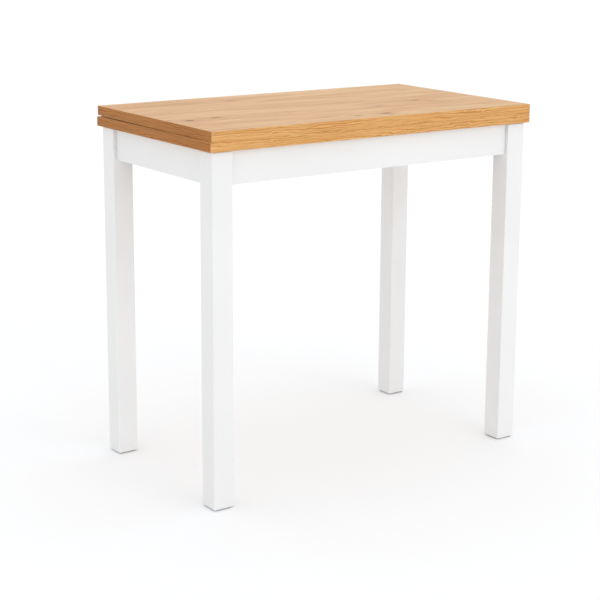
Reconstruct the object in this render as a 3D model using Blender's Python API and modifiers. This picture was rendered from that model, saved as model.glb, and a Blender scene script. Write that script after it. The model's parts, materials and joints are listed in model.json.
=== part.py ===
"""Book-fold table on a fixed four-leg frame.

Two equal leaves lie one on the other. The whole top swivels a quarter turn on an off-centre
pivot, and the upper leaf then opens like a book on three double-jointed flap hinges, so that
the open top is twice the area and centred on the frame.

Metres, +Z up, +X along the frame's long side, +Y to the rear (the hinge side).
The origin is on the floor, under the centre of the folded top.
"""

import math

import bmesh
import bpy
from mathutils import Matrix, Vector

# ---- driving dimensions ------------------------------------------------------------------
TOP_LENGTH = 0.800
TOP_DEPTH = 0.450
LEAF_THICKNESS = 0.0195
LOWER_LEAF_BOTTOM = 0.7082
TOP_OVERHANG = 0.008  # from a leg's outer faces to the edge of the top

LEG_SIDE = 0.045
APRON_HEIGHT = 0.065
APRON_THICKNESS = 0.018
APRON_RECESS = 0.008  # behind the legs' outer faces

FIT = 0.0003  # gap left between pieces that touch
ARRIS = 0.0004  # edge softening of painted wood
LEG_ARRIS = 0.0015
LEG_ARRIS_STEPS = 2

# ---- leaves and their edging -------------------------------------------------------------
UPPER_LEAF_SHORT_BY = 0.002  # at the left end
UPPER_LEAF_SHALLOW_BY = 0.0001  # at the front
EDGING = 0.002
EDGING_ARRIS = 0.0006
EDGING_ARRIS_STEPS = 2
HINGE_ARRIS = 0.002  # radius of the two arrises that roll past each other
HINGE_ARRIS_STEPS = 4

# ---- double-jointed flap hinge -----------------------------------------------------------
HINGE_X = (-0.280, 0.0, 0.280)
HINGE_NAMES = ("left", "centre", "right")
PIVOT_DEPTH = 0.0030  # below a leaf's inner face
PIVOT_SETBACK = 0.0040  # in from a leaf's hinge edge
GAP_AT_HINGE = 0.0028  # between the folded leaves, at the hinge edge
GAP_AT_FRONT = 0.0002
LINK_LENGTH = 2 * PIVOT_DEPTH + GAP_AT_HINGE
SEAM_WHEN_OPEN = LINK_LENGTH - 2 * PIVOT_SETBACK
LINK_EYE_RADIUS = 0.0025
LINK_WIDTH = 0.0054
LINK_SLOT_WIDTH = 0.0060
PIN_RADIUS = 0.00125
PIN_LENGTH = 0.0120
PIN_PLAY = 0.0001
LINK_PLAY = 0.00015
PLATE_WIDTH = 0.030
PLATE_THICKNESS = 0.0018
PLATE_SET_IN = 0.0003  # below the leaf's face
PLATE_FROM = 0.0010  # distances in from the hinge edge
PLATE_TO = 0.0260
PLATE_CORNER = 0.006
PLATE_CORNER_STEPS = 5
EAR_TO = 0.0086
EAR_DEPTH = 0.0064
EAR_SPAN = 0.0124

# ---- swivel ------------------------------------------------------------------------------
PIVOT = (TOP_DEPTH + SEAM_WHEN_OPEN) / 4  # carries the hinge line to the frame's centre
CROSSBAR_WIDTH = 0.090
CROSSBAR_THICKNESS = 0.022
CROSSBAR_DROP = 0.005  # below the top of the frame
CLEAT_SIDE = 0.020
PAD_THICKNESS = 0.001
PAD_RADIUS = 0.014
FLANGE_RADIUS = 0.038
FLANGE_THICKNESS = 0.003
STUD_RADIUS = 0.006
STUD_PLAY = 0.00015
BUSH_RADIUS = 0.009
BUSH_FLANGE_RADIUS = 0.014
BUSH_FLANGE_THICKNESS = 0.0015
THRUST_WASHER_THICKNESS = 0.0007
STEEL_WASHER_RADIUS = 0.014
STEEL_WASHER_THICKNESS = 0.002
LOCK_NUT_FLATS = 0.019
LOCK_NUT_THICKNESS = 0.010
STUD_END = 0.003  # below the lock nut
SCREW_CIRCLE_RADIUS = 0.028
SCREWS = 4
SCREW_RADIUS = 0.002
SCREW_LENGTH = 0.014
SCREW_HEAD_RADIUS = 0.004
SCREW_HEAD_HEIGHT = 0.0015
BUFFER_RADIUS = 0.006
BUFFER_LENGTH = 0.022

# ---- corner brackets, and the hanger bolts that pull the legs in --------------------------
BRACKET_SHEET = 0.002
BRACKET_HEIGHT = 0.040
BRACKET_REACH = 0.082  # along each apron, from the corner of the aprons' inner faces
BRACKET_CUT_OFF = 0.054  # where the slanted web would meet each apron
KERF_DEPTH = 0.006
KERF_WIDTH = 0.0032
BOLT_RADIUS = 0.0039
BOLT_IN_LEG = 0.032
BOLT_PAST_WEB = 0.013
BOLT_PLAY = 0.0003
HEX_NUT_FLATS = 0.013
HEX_NUT_THICKNESS = 0.0065
FOOT_THICKNESS = 0.002
FOOT_INSET = 0.003
FOOT_ARRIS = 0.0005

# ---- derived -----------------------------------------------------------------------------
FRAME_TOP = LOWER_LEAF_BOTTOM - PAD_THICKNESS - 2 * FIT
LOWER_FACE = LOWER_LEAF_BOTTOM + LEAF_THICKNESS  # inner face of the lower leaf
UPPER_FACE = LOWER_FACE + GAP_AT_HINGE  # inner face of the upper leaf, when parallel
HALF_X = TOP_LENGTH / 2 - TOP_OVERHANG  # legs' outer faces
HALF_Y = TOP_DEPTH / 2 - TOP_OVERHANG
INNER_X = HALF_X - APRON_RECESS - APRON_THICKNESS  # aprons' inner faces
INNER_Y = HALF_Y - APRON_RECESS - APRON_THICKNESS
HINGE_EDGE = TOP_DEPTH / 2
HINGE_Y = HINGE_EDGE - PIVOT_SETBACK
LEAF_REST_TILT = (GAP_AT_HINGE - GAP_AT_FRONT) / (TOP_DEPTH - PIVOT_SETBACK)
LEG_INTRUSION = LEG_SIDE - APRON_RECESS - APRON_THICKNESS  # past the aprons' inner faces
BRACKET_Z = FRAME_TOP - APRON_HEIGHT / 2

# ---- modelling ---------------------------------------------------------------------------
ROUND = 32  # sides of a cylinder
SMALL_ROUND = 20
HEXAGON = 6
SHARP_ANGLE = math.radians(40)
CUT_PAST = 0.004  # how far a cutter runs past what it cuts
NEARLY_ONE = 0.9  # an edge's direction counts as along an axis above this
CORNERS = {
    "front_left": (-1, -1),
    "front_right": (1, -1),
    "rear_left": (-1, 1),
    "rear_right": (1, 1),
}


# ---- scene -------------------------------------------------------------------------------
def clear_scene():
    for obj in list(bpy.data.objects):
        bpy.data.objects.remove(obj)


def new_collection(name):
    collection = bpy.data.collections.new(name)
    bpy.context.scene.collection.children.link(collection)
    return collection


def new_material(name, colour, roughness, metallic=0.0):
    material = bpy.data.materials.new(name)
    material.use_nodes = True
    shader = material.node_tree.nodes["Principled BSDF"]
    shader.inputs["Base Color"].default_value = (*colour, 1.0)
    shader.inputs["Roughness"].default_value = roughness
    shader.inputs["Metallic"].default_value = metallic
    return material


clear_scene()
TABLE = new_collection("book_fold_table")
CUTTERS = new_collection("cutters")
PAINT = new_material("white_lacquer", (0.86, 0.86, 0.85), 0.45)
OAK = new_material("oak_face", (0.72, 0.50, 0.30), 0.50)
OAK_EDGE = new_material("oak_edging", (0.66, 0.38, 0.15), 0.50)
RAW_PINE = new_material("raw_pine", (0.78, 0.62, 0.42), 0.60)
ZINC = new_material("zinc_plate", (0.62, 0.63, 0.65), 0.35, 1.0)
NICKEL = new_material("nickel_hinge", (0.66, 0.63, 0.56), 0.30, 1.0)
NYLON = new_material("nylon", (0.88, 0.87, 0.83), 0.40)
FELT = new_material("felt", (0.80, 0.79, 0.76), 0.95)
RUBBER = new_material("rubber", (0.06, 0.06, 0.06), 0.80)
FOOT_PLASTIC = new_material("foot_plastic", (0.22, 0.22, 0.22), 0.60)


# ---- shape helpers -----------------------------------------------------------------------
def place(obj, collection, material=None):
    """Moves a new object to its collection and gives it its material."""
    for other in list(obj.users_collection):
        other.objects.unlink(obj)
    collection.objects.link(obj)
    if material:
        obj.data.materials.append(material)
    return obj


def as_cutter(obj):
    place(obj, CUTTERS)
    obj.hide_render = True
    obj.display_type = "WIRE"
    return obj


def box(name, low, high, material=None):
    """A box between two corners, with its origin at its centre and its size in its mesh."""
    low, high = Vector(low), Vector(high)
    bpy.ops.mesh.primitive_cube_add(size=1, location=(low + high) / 2)
    obj = bpy.context.object
    obj.name = name
    obj.data.transform(Matrix.Diagonal((*(high - low), 1.0)))
    return place(obj, TABLE, material)


def cylinder(name, radius, start, end, material=None, vertices=ROUND):
    """A cylinder from start to end, with its origin at its centre."""
    start, end = Vector(start), Vector(end)
    span = end - start
    bpy.ops.mesh.primitive_cylinder_add(
        vertices=vertices, radius=radius, depth=span.length, location=(start + end) / 2
    )
    obj = bpy.context.object
    obj.name = name
    obj.rotation_euler = span.to_track_quat("Z", "Y").to_euler()
    obj.data.shade_smooth()
    obj.data.set_sharp_from_angle(angle=SHARP_ANGLE)
    return place(obj, TABLE, material)


def bevel_mesh(obj, chosen, radius, steps):
    """Rounds the mesh edges for which chosen(midpoint, direction) is true, in object space."""
    mesh = bmesh.new()
    mesh.from_mesh(obj.data)
    edges = []
    for edge in mesh.edges:
        start, end = (vertex.co for vertex in edge.verts)
        if chosen((start + end) / 2, (end - start).normalized()):
            edges.append(edge)
    bmesh.ops.bevel(
        mesh, geom=edges, offset=radius, segments=steps, profile=0.5, affect="EDGES"
    )
    mesh.to_mesh(obj.data)
    mesh.free()
    return obj


def soften(obj, radius=ARRIS, steps=1):
    modifier = obj.modifiers.new("softened_edges", "BEVEL")
    modifier.width = radius
    modifier.segments = steps
    modifier.limit_method = "ANGLE"
    return obj


def boolean(obj, other, operation="DIFFERENCE"):
    modifier = obj.modifiers.new(operation.lower(), "BOOLEAN")
    modifier.operation = operation
    modifier.object = other
    modifier.solver = "EXACT"
    return obj


def drill(obj, radius, start, end, vertices=SMALL_ROUND):
    """Cuts a round hole from start to end."""
    hole = cylinder(f"{obj.name}_hole", radius, start, end, vertices=vertices)
    return boolean(obj, as_cutter(hole))


def axis_empty(name, location, parent=None):
    """An empty on a joint's axis, which carries the pieces that turn about it."""
    empty = bpy.data.objects.new(name, None)
    empty.location = location
    TABLE.objects.link(empty)
    if parent:
        carry(parent, [empty])
    return empty


def carry(parent, pieces):
    """Parents pieces, which are modelled in world space, without moving them."""
    bpy.context.view_layer.update()
    for piece in pieces:
        piece.parent = parent
        piece.matrix_parent_inverse = parent.matrix_world.inverted()


# ---- frame -------------------------------------------------------------------------------
def corner_point(signs, along_x, along_y, z):
    """A point from a corner of the aprons' inner faces, measured inwards along X and Y."""
    sign_x, sign_y = signs
    return Vector((sign_x * (INNER_X - along_x), sign_y * (INNER_Y - along_y), z))


def bolt_point(signs, distance):
    """A point on a hanger bolt's axis, measured from the leg's inner edge into the frame."""
    run = LEG_INTRUSION + distance / math.sqrt(2)
    return corner_point(signs, run, run, BRACKET_Z)


WEB_DISTANCE = (BRACKET_CUT_OFF - 2 * LEG_INTRUSION) / math.sqrt(2)


def make_leg(name, signs):
    sign_x, sign_y = signs
    outer = Vector((sign_x * HALF_X, sign_y * HALF_Y, FOOT_THICKNESS + FIT))
    inner = outer - Vector((sign_x * LEG_SIDE, sign_y * LEG_SIDE, 0))
    low = Vector(map(min, outer, inner))
    high = Vector(map(max, outer, inner))
    high.z = FRAME_TOP
    leg = soften(box(f"leg_{name}", low, high, PAINT), LEG_ARRIS, LEG_ARRIS_STEPS)
    drill(
        leg,
        BOLT_RADIUS + BOLT_PLAY,
        bolt_point(signs, -BOLT_IN_LEG),
        bolt_point(signs, CUT_PAST),
    )

    inset = Vector((FOOT_INSET, FOOT_INSET, 0))
    foot_low = Vector((low.x, low.y, 0)) + inset
    foot_high = Vector((high.x, high.y, FOOT_THICKNESS)) - inset
    soften(box(f"foot_glide_{name}", foot_low, foot_high, FOOT_PLASTIC), FOOT_ARRIS)

    centre = (low + high) / 2
    pad_bottom = Vector((centre.x, centre.y, FRAME_TOP + FIT))
    pad_top = pad_bottom + Vector((0, 0, PAD_THICKNESS))
    cylinder(f"glide_pad_{name}", PAD_RADIUS, pad_bottom, pad_top, FELT)


def make_aprons():
    """Four aprons, each with the saw kerfs that the corner brackets hook into."""
    bottom = FRAME_TOP - APRON_HEIGHT
    kerf_x = INNER_X - BRACKET_REACH
    kerf_y = INNER_Y - BRACKET_REACH
    end_x = HALF_X - LEG_SIDE - FIT
    end_y = HALF_Y - LEG_SIDE - FIT
    for name, sign in (("front", -1), ("rear", 1)):
        faces = sorted((sign * INNER_Y, sign * (INNER_Y + APRON_THICKNESS)))
        low, high = (-end_x, faces[0], bottom), (end_x, faces[1], FRAME_TOP)
        apron = soften(box(f"apron_{name}", low, high, PAINT))
        for side in (-1, 1):
            cut_kerf(apron, (side * kerf_x, sign * INNER_Y), along_x=True)
    for name, sign in (("left", -1), ("right", 1)):
        faces = sorted((sign * INNER_X, sign * (INNER_X + APRON_THICKNESS)))
        low, high = (faces[0], -end_y, bottom), (faces[1], end_y, FRAME_TOP)
        apron = soften(box(f"apron_{name}", low, high, PAINT))
        for side in (-1, 1):
            cut_kerf(apron, (sign * INNER_X, side * kerf_y), along_x=False)


def cut_kerf(apron, at, along_x):
    """A saw kerf over the apron's full height, KERF_DEPTH into its inner face."""
    across, into = KERF_WIDTH / 2, KERF_DEPTH + 2 * FIT
    half = Vector((across, into, APRON_HEIGHT)) if along_x else Vector((into, across, APRON_HEIGHT))
    centre = Vector((*at, BRACKET_Z))
    kerf = box(f"{apron.name}_kerf", centre - half, centre + half)
    boolean(apron, as_cutter(kerf))


def make_bracket(name, signs):
    """Bent sheet: a hook in each apron's kerf, two wings and the slanted web between them."""
    skin = FIT + BRACKET_SHEET / 2
    hook = KERF_DEPTH - BRACKET_SHEET / 2
    wing_end, bend = BRACKET_REACH, BRACKET_CUT_OFF - skin
    route = [
        (wing_end, -hook),
        (wing_end, skin),
        (bend, skin),
        (skin, bend),
        (skin, wing_end),
        (-hook, wing_end),
    ]
    mesh = bmesh.new()
    rows = []
    for z in (BRACKET_Z - BRACKET_HEIGHT / 2, BRACKET_Z + BRACKET_HEIGHT / 2):
        rows.append([mesh.verts.new(corner_point(signs, x, y, z)) for x, y in route])
    for i in range(len(route) - 1):
        mesh.faces.new((rows[0][i], rows[0][i + 1], rows[1][i + 1], rows[1][i]))
    data = bpy.data.meshes.new(f"corner_bracket_{name}")
    mesh.to_mesh(data)
    mesh.free()
    bracket = bpy.data.objects.new(f"corner_bracket_{name}", data)
    place(bracket, TABLE, ZINC)
    sheet = bracket.modifiers.new("sheet", "SOLIDIFY")
    sheet.thickness = BRACKET_SHEET
    sheet.offset = 0
    sheet.use_even_offset = True
    drill(
        bracket,
        BOLT_RADIUS + BOLT_PLAY,
        bolt_point(signs, WEB_DISTANCE - CUT_PAST),
        bolt_point(signs, WEB_DISTANCE + CUT_PAST),
    )


def make_hanger_bolt(name, signs):
    web_face = WEB_DISTANCE + BRACKET_SHEET / 2
    start = bolt_point(signs, FIT - BOLT_IN_LEG)
    end = bolt_point(signs, web_face + BOLT_PAST_WEB)
    cylinder(f"hanger_bolt_{name}", BOLT_RADIUS, start, end, ZINC, SMALL_ROUND)

    nut_start = web_face + FIT
    make_hex_nut(
        f"bolt_nut_{name}",
        HEX_NUT_FLATS,
        bolt_point(signs, nut_start),
        bolt_point(signs, nut_start + HEX_NUT_THICKNESS),
        BOLT_RADIUS + BOLT_PLAY / 2,
    )


def make_hex_nut(name, flats, start, end, bore_radius):
    corner_radius = flats / math.sqrt(3)
    nut = cylinder(name, corner_radius, start, end, ZINC, vertices=HEXAGON)
    overshoot = (end - start).normalized() * CUT_PAST
    return drill(nut, bore_radius, start - overshoot, end + overshoot)


def make_frame():
    make_aprons()
    for name, signs in CORNERS.items():
        make_leg(name, signs)
        make_bracket(name, signs)
        make_hanger_bolt(name, signs)


# ---- swivel ------------------------------------------------------------------------------
def on_pivot(z):
    return Vector((PIVOT, PIVOT, z))


def make_ring(name, outer_radius, inner_radius, bottom, top, material):
    ring = cylinder(name, outer_radius, on_pivot(bottom), on_pivot(top), material)
    return drill(ring, inner_radius, on_pivot(bottom - CUT_PAST), on_pivot(top + CUT_PAST), ROUND)


def make_crossbar():
    """The flat bar that carries the pivot, on two cleats, and its nylon bush."""
    top = FRAME_TOP - CROSSBAR_DROP
    bottom = top - CROSSBAR_THICKNESS
    left, right = PIVOT - CROSSBAR_WIDTH / 2, PIVOT + CROSSBAR_WIDTH / 2
    reach = INNER_Y - FIT
    bar = box("pivot_crossbar", (left, -reach, bottom), (right, reach, top), RAW_PINE)
    soften(bar)
    drill(bar, BUSH_RADIUS + FIT, on_pivot(bottom - CUT_PAST), on_pivot(top + CUT_PAST), ROUND)

    for name, sign in (("front", -1), ("rear", 1)):
        faces = sorted((sign * reach, sign * (reach - CLEAT_SIDE)))
        low = (left, faces[0], bottom - FIT - CLEAT_SIDE)
        high = (right, faces[1], bottom - FIT)
        soften(box(f"crossbar_cleat_{name}", low, high, RAW_PINE))

    bore = STUD_RADIUS + STUD_PLAY
    flange_bottom = top + FIT
    flange_top = flange_bottom + BUSH_FLANGE_THICKNESS
    bush = cylinder("pivot_bush", BUSH_RADIUS, on_pivot(bottom), on_pivot(flange_top), NYLON)
    collar = cylinder(
        "pivot_bush_collar", BUSH_FLANGE_RADIUS, on_pivot(flange_bottom), on_pivot(flange_top)
    )
    boolean(bush, as_cutter(collar), "UNION")
    drill(bush, bore, on_pivot(bottom - CUT_PAST), on_pivot(flange_top + CUT_PAST), ROUND)

    washer_bottom = flange_top + FIT
    washer_top = washer_bottom + THRUST_WASHER_THICKNESS
    make_ring("thrust_washer", BUSH_FLANGE_RADIUS, bore, washer_bottom, washer_top, NYLON)
    return bottom


def flange_screw_points():
    for number in range(SCREWS):
        angle = math.tau * (number + 0.5) / SCREWS
        reach = SCREW_CIRCLE_RADIUS
        yield on_pivot(0) + Vector((math.cos(angle), math.sin(angle), 0)) * reach


def make_swivel_hardware(crossbar_bottom):
    """What turns with the top: flanged stud, its screws, washer, lock nut and stop buffer."""
    flange_top = LOWER_LEAF_BOTTOM - FIT
    flange_bottom = flange_top - FLANGE_THICKNESS
    washer_top = crossbar_bottom - FIT
    washer_bottom = washer_top - STEEL_WASHER_THICKNESS
    nut_top = washer_bottom - FIT
    nut_bottom = nut_top - LOCK_NUT_THICKNESS

    flange = cylinder("pivot_flange", FLANGE_RADIUS, on_pivot(flange_bottom), on_pivot(flange_top), ZINC)
    stud = cylinder(
        "pivot_stud",
        STUD_RADIUS,
        on_pivot(nut_bottom - STUD_END),
        on_pivot(flange_bottom + FLANGE_THICKNESS / 2),
    )
    boolean(flange, as_cutter(stud), "UNION")

    bore = STUD_RADIUS + STUD_PLAY
    washer = make_ring("lock_washer", STEEL_WASHER_RADIUS, bore, washer_bottom, washer_top, ZINC)
    nut = make_hex_nut("lock_nut", LOCK_NUT_FLATS, on_pivot(nut_bottom), on_pivot(nut_top), bore)
    pieces = [flange, washer, nut]

    for number, point in enumerate(flange_screw_points(), start=1):
        head_top = point + Vector((0, 0, flange_bottom - FIT))
        tip = head_top + Vector((0, 0, SCREW_LENGTH))
        head_bottom = head_top - Vector((0, 0, SCREW_HEAD_HEIGHT))
        screw = cylinder(f"flange_screw_{number}", SCREW_RADIUS, head_bottom, tip, ZINC, SMALL_ROUND)
        head = cylinder("flange_screw_head", SCREW_HEAD_RADIUS, head_bottom, head_top)
        boolean(screw, as_cutter(head), "UNION")
        drill(flange, SCREW_RADIUS + FIT, head_bottom, tip)
        pieces.append(screw)

    stop = INNER_Y - BUFFER_RADIUS - FIT  # touches the rear apron folded, the front one turned
    buffer_top = Vector((-stop, stop, LOWER_LEAF_BOTTOM - FIT))
    buffer_bottom = buffer_top - Vector((0, 0, BUFFER_LENGTH))
    pieces.append(cylinder("stop_buffer", BUFFER_RADIUS, buffer_bottom, buffer_top, RUBBER))
    return pieces


# ---- leaves ------------------------------------------------------------------------------
def make_leaf(name, low, high, inner_side):
    """A core board and the edging round it. inner_side is 1 or -1: where the other leaf lies."""
    half_height = LEAF_THICKNESS / 2

    def rolls_past_the_other_leaf(middle, direction):
        return abs(direction.x) > NEARLY_ONE and middle.y > 0 and middle.z * inner_side > 0

    def meets_the_hand(middle, direction):
        on_outer_face = middle.z * inner_side < -half_height * NEARLY_ONE
        at_front_corner = abs(direction.z) > NEARLY_ONE and middle.y < 0
        return on_outer_face or at_front_corner

    edging = box(f"{name}_edging", low, high, OAK_EDGE)
    bevel_mesh(edging, rolls_past_the_other_leaf, HINGE_ARRIS, HINGE_ARRIS_STEPS)
    bevel_mesh(edging, meets_the_hand, EDGING_ARRIS, EDGING_ARRIS_STEPS)
    band = Vector((EDGING, EDGING, 0))
    tall = Vector((0, 0, CUT_PAST))
    opening = box(f"{name}_opening", Vector(low) + band - tall, Vector(high) - band + tall)
    boolean(edging, as_cutter(opening))

    gap = band + Vector((FIT, FIT, 0))
    core = box(f"{name}_core", Vector(low) + gap, Vector(high) - gap, OAK)
    return core, edging


def make_leaves():
    half_x, half_y = TOP_LENGTH / 2, TOP_DEPTH / 2
    lower = make_leaf(
        "lower_leaf",
        (-half_x, -half_y, LOWER_LEAF_BOTTOM),
        (half_x, half_y, LOWER_FACE),
        inner_side=1,
    )
    upper = make_leaf(
        "upper_leaf",
        (-half_x + UPPER_LEAF_SHORT_BY, -half_y + UPPER_LEAF_SHALLOW_BY, UPPER_FACE),
        (half_x, half_y, UPPER_FACE + LEAF_THICKNESS),
        inner_side=-1,
    )
    return lower, upper


# ---- hinges ------------------------------------------------------------------------------
class HingeSide:
    """One leaf's half of a hinge: depths are measured from the leaf's inner face into the leaf."""

    def __init__(self, centre_x, face_z, into):
        self.centre_x = centre_x
        self.face_z = face_z
        self.into = into

    def point(self, across, inward, depth):
        return Vector(
            (self.centre_x + across, HINGE_EDGE - inward, self.face_z + self.into * depth)
        )

    def box(self, name, half_width, inward, depth, material=None):
        ends = [
            self.point(-half_width, inward[0], depth[0]),
            self.point(half_width, inward[1], depth[1]),
        ]
        low = Vector(map(min, *ends))
        high = Vector(map(max, *ends))
        return box(name, low, high, material)


def rounded_plate(side, name, grow, depth, start, material=None):
    """A plate outline with its two inner corners rounded; grow widens it into its pocket."""
    plate = side.box(
        name, PLATE_WIDTH / 2 + grow, (start, PLATE_TO + grow), depth, material
    )

    def inner_corner(middle, direction):
        return abs(direction.z) > NEARLY_ONE and middle.y < 0

    return bevel_mesh(plate, inner_corner, PLATE_CORNER, PLATE_CORNER_STEPS)


def make_hinge_plate(name, side, boards):
    """The plate with its two ears, and its pocket in the leaf's core and edging."""
    over = -CUT_PAST  # outside the leaf's face and edge
    plate_depth = (PLATE_SET_IN, PLATE_SET_IN + PLATE_THICKNESS)
    plate = rounded_plate(side, name, 0, plate_depth, PLATE_FROM, NICKEL)
    ears = side.box(f"{name}_ears", EAR_SPAN / 2, (PLATE_FROM, EAR_TO), (PLATE_SET_IN, EAR_DEPTH))
    boolean(plate, as_cutter(ears), "UNION")
    slot = side.box(
        f"{name}_slot", LINK_SLOT_WIDTH / 2, (over, EAR_TO + FIT), (over, EAR_DEPTH + CUT_PAST)
    )
    boolean(plate, as_cutter(slot))
    pin_start = side.point(-EAR_SPAN, PIVOT_SETBACK, PIVOT_DEPTH)
    pin_end = side.point(EAR_SPAN, PIVOT_SETBACK, PIVOT_DEPTH)
    drill(plate, PIN_RADIUS + PIN_PLAY, pin_start, pin_end)

    pocket_depth = (over, plate_depth[1] + FIT)
    plate_pocket = as_cutter(rounded_plate(side, f"{name}_pocket", FIT, pocket_depth, over))
    ear_pocket = as_cutter(
        side.box(
            f"{name}_ear_pocket", EAR_SPAN / 2 + FIT, (over, EAR_TO + 2 * FIT), (over, EAR_DEPTH + FIT)
        )
    )
    for board in boards:
        boolean(board, plate_pocket)
        boolean(board, ear_pocket)
    return [plate, ears, slot, plate_pocket, ear_pocket]


def make_pin(name, side):
    start = side.point(-PIN_LENGTH / 2, PIVOT_SETBACK, PIVOT_DEPTH)
    end = side.point(PIN_LENGTH / 2, PIVOT_SETBACK, PIVOT_DEPTH)
    return cylinder(name, PIN_RADIUS, start, end, NICKEL, SMALL_ROUND)


def make_link(name, lower_side, upper_side):
    """A stadium-shaped link that stands between the two pins when the leaves are folded."""
    half = LINK_WIDTH / 2
    lower, upper = (
        side.point(0, PIVOT_SETBACK, PIVOT_DEPTH) for side in (lower_side, upper_side)
    )
    reach = Vector((half, LINK_EYE_RADIUS, 0))
    link = box(name, lower - reach, upper + reach, NICKEL)
    for end in (lower, upper):
        across = Vector((half, 0, 0))
        eye = cylinder(f"{name}_eye", LINK_EYE_RADIUS, end - across, end + across)
        boolean(link, as_cutter(eye), "UNION")
    for end in (lower, upper):
        through = Vector((2 * half, 0, 0))
        drill(link, PIN_RADIUS + LINK_PLAY, end - through, end + through)
    return link


def make_hinges(lower_leaf, upper_leaf):
    """Returns what rides with the lower leaf, with the links and with the upper leaf."""
    with_lower, with_links, with_upper = [], [], []
    for name, x in zip(HINGE_NAMES, HINGE_X):
        lower_side = HingeSide(x, LOWER_FACE, -1)
        upper_side = HingeSide(x, UPPER_FACE, 1)
        with_lower += make_hinge_plate(f"hinge_plate_lower_{name}", lower_side, lower_leaf)
        with_upper += make_hinge_plate(f"hinge_plate_upper_{name}", upper_side, upper_leaf)
        with_lower.append(make_pin(f"hinge_pin_lower_{name}", lower_side))
        with_upper.append(make_pin(f"hinge_pin_upper_{name}", upper_side))
        with_links.append(make_link(f"hinge_link_{name}", lower_side, upper_side))
    return with_lower, with_links, with_upper


# ---- assembly ----------------------------------------------------------------------------
def cutters_of(pieces):
    """The cutters that shape these pieces, which have to move with them."""
    found = []
    for piece in pieces:
        found += [m.object for m in piece.modifiers if m.type == "BOOLEAN"]
    return found


def assemble():
    make_frame()
    crossbar_bottom = make_crossbar()
    lower_leaf, upper_leaf = make_leaves()
    hardware = make_swivel_hardware(crossbar_bottom)
    for point in flange_screw_points():
        bottom = point + Vector((0, 0, LOWER_LEAF_BOTTOM - CUT_PAST))
        depth = Vector((0, 0, CUT_PAST + SCREW_LENGTH - FLANGE_THICKNESS))
        drill(lower_leaf[0], SCREW_RADIUS + FIT, bottom, bottom + depth)
    with_lower, with_links, with_upper = make_hinges(lower_leaf, upper_leaf)

    swivel = axis_empty("swivel_axis", on_pivot(FRAME_TOP))
    lower_axis = axis_empty("lower_pin_axis", (0, HINGE_Y, LOWER_FACE - PIVOT_DEPTH), swivel)
    upper_axis = axis_empty("upper_pin_axis", (0, HINGE_Y, UPPER_FACE + PIVOT_DEPTH), lower_axis)
    carried = (
        (swivel, [*lower_leaf, *hardware, *with_lower]),
        (lower_axis, with_links),
        (upper_axis, [*upper_leaf, *with_upper]),
    )
    for axis, pieces in carried:
        unique = dict.fromkeys([*pieces, *cutters_of(pieces)])
        carry(axis, unique)
    upper_axis.rotation_euler.x = LEAF_REST_TILT


assemble()
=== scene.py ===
"""Looks of the book-fold swivel-top table: camera, light, floor, fixings and materials.

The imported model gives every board, bracket and hinge. This script gives them their surfaces, puts
detailed pieces in place of its plainest fixings (the hanger bolts, the nuts and the foot glides),
and adds the screws and threads that the model leaves out.
"""

import json
import math

import bmesh
import bpy
from mathutils import Matrix, Vector


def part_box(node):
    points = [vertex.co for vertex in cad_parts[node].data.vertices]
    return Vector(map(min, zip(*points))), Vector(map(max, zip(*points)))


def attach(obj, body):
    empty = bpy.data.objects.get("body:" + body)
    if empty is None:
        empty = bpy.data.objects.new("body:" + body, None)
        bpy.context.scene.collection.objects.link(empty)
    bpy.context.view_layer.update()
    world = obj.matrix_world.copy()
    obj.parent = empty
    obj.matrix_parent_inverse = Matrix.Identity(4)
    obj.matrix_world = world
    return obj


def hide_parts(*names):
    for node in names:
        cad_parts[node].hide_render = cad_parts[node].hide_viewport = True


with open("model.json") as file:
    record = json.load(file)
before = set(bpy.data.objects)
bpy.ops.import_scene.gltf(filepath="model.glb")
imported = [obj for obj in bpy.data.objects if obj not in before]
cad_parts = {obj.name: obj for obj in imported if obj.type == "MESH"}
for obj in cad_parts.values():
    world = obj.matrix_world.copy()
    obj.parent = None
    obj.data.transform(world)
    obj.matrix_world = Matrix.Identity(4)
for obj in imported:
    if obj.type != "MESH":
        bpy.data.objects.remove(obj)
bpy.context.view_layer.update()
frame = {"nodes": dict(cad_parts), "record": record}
NODES = frame["nodes"]


# ---- camera, light and floor ---------------------------------------------------------------
CAMERA_PLACE = (-1.8262, -2.5520, 1.1288)
CAMERA_HEADING = math.radians(34.98)  # from +Y towards +X
CAMERA_TILT = math.radians(12.08)  # below the horizon
CAMERA_ROLL = math.radians(0.31)
CAMERA_REACH = 200
SENSOR = 36.0
LENS = 89.66
SHIFT_Y = -0.10

WORLD_TONE = (1.0, 1.0, 1.0)
WORLD_STRENGTH = 1.03
SUN_FROM = (0.15, -0.94, 0.3)
SUN_STRENGTH = 0.42
SUN_SPREAD = math.radians(44)

FLOOR_HALF = 30.0
FLOOR_TONE = (0.957, 0.971, 0.988)
FLOOR_ROUGHNESS = 0.9
FLOOR_SPECULAR = 0.1


def new_object(name, data):
    """An object that is in the scene."""
    obj = bpy.data.objects.new(name, data)
    bpy.context.scene.collection.objects.link(obj)
    return obj


def set_colour_management():
    bpy.context.scene.view_settings.view_transform = "Standard"


def make_camera():
    data = bpy.data.cameras.new("camera")
    data.lens = LENS
    data.sensor_width = SENSOR
    data.shift_y = SHIFT_Y
    data.clip_end = CAMERA_REACH
    camera = new_object("camera", data)
    camera.location = CAMERA_PLACE
    turn = Matrix.Rotation(-CAMERA_HEADING, 4, "Z")
    tilt = Matrix.Rotation(math.pi / 2 - CAMERA_TILT, 4, "X")
    roll = Matrix.Rotation(CAMERA_ROLL, 4, "Z")
    camera.rotation_euler = (turn @ tilt @ roll).to_euler()
    bpy.context.scene.camera = camera


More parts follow.
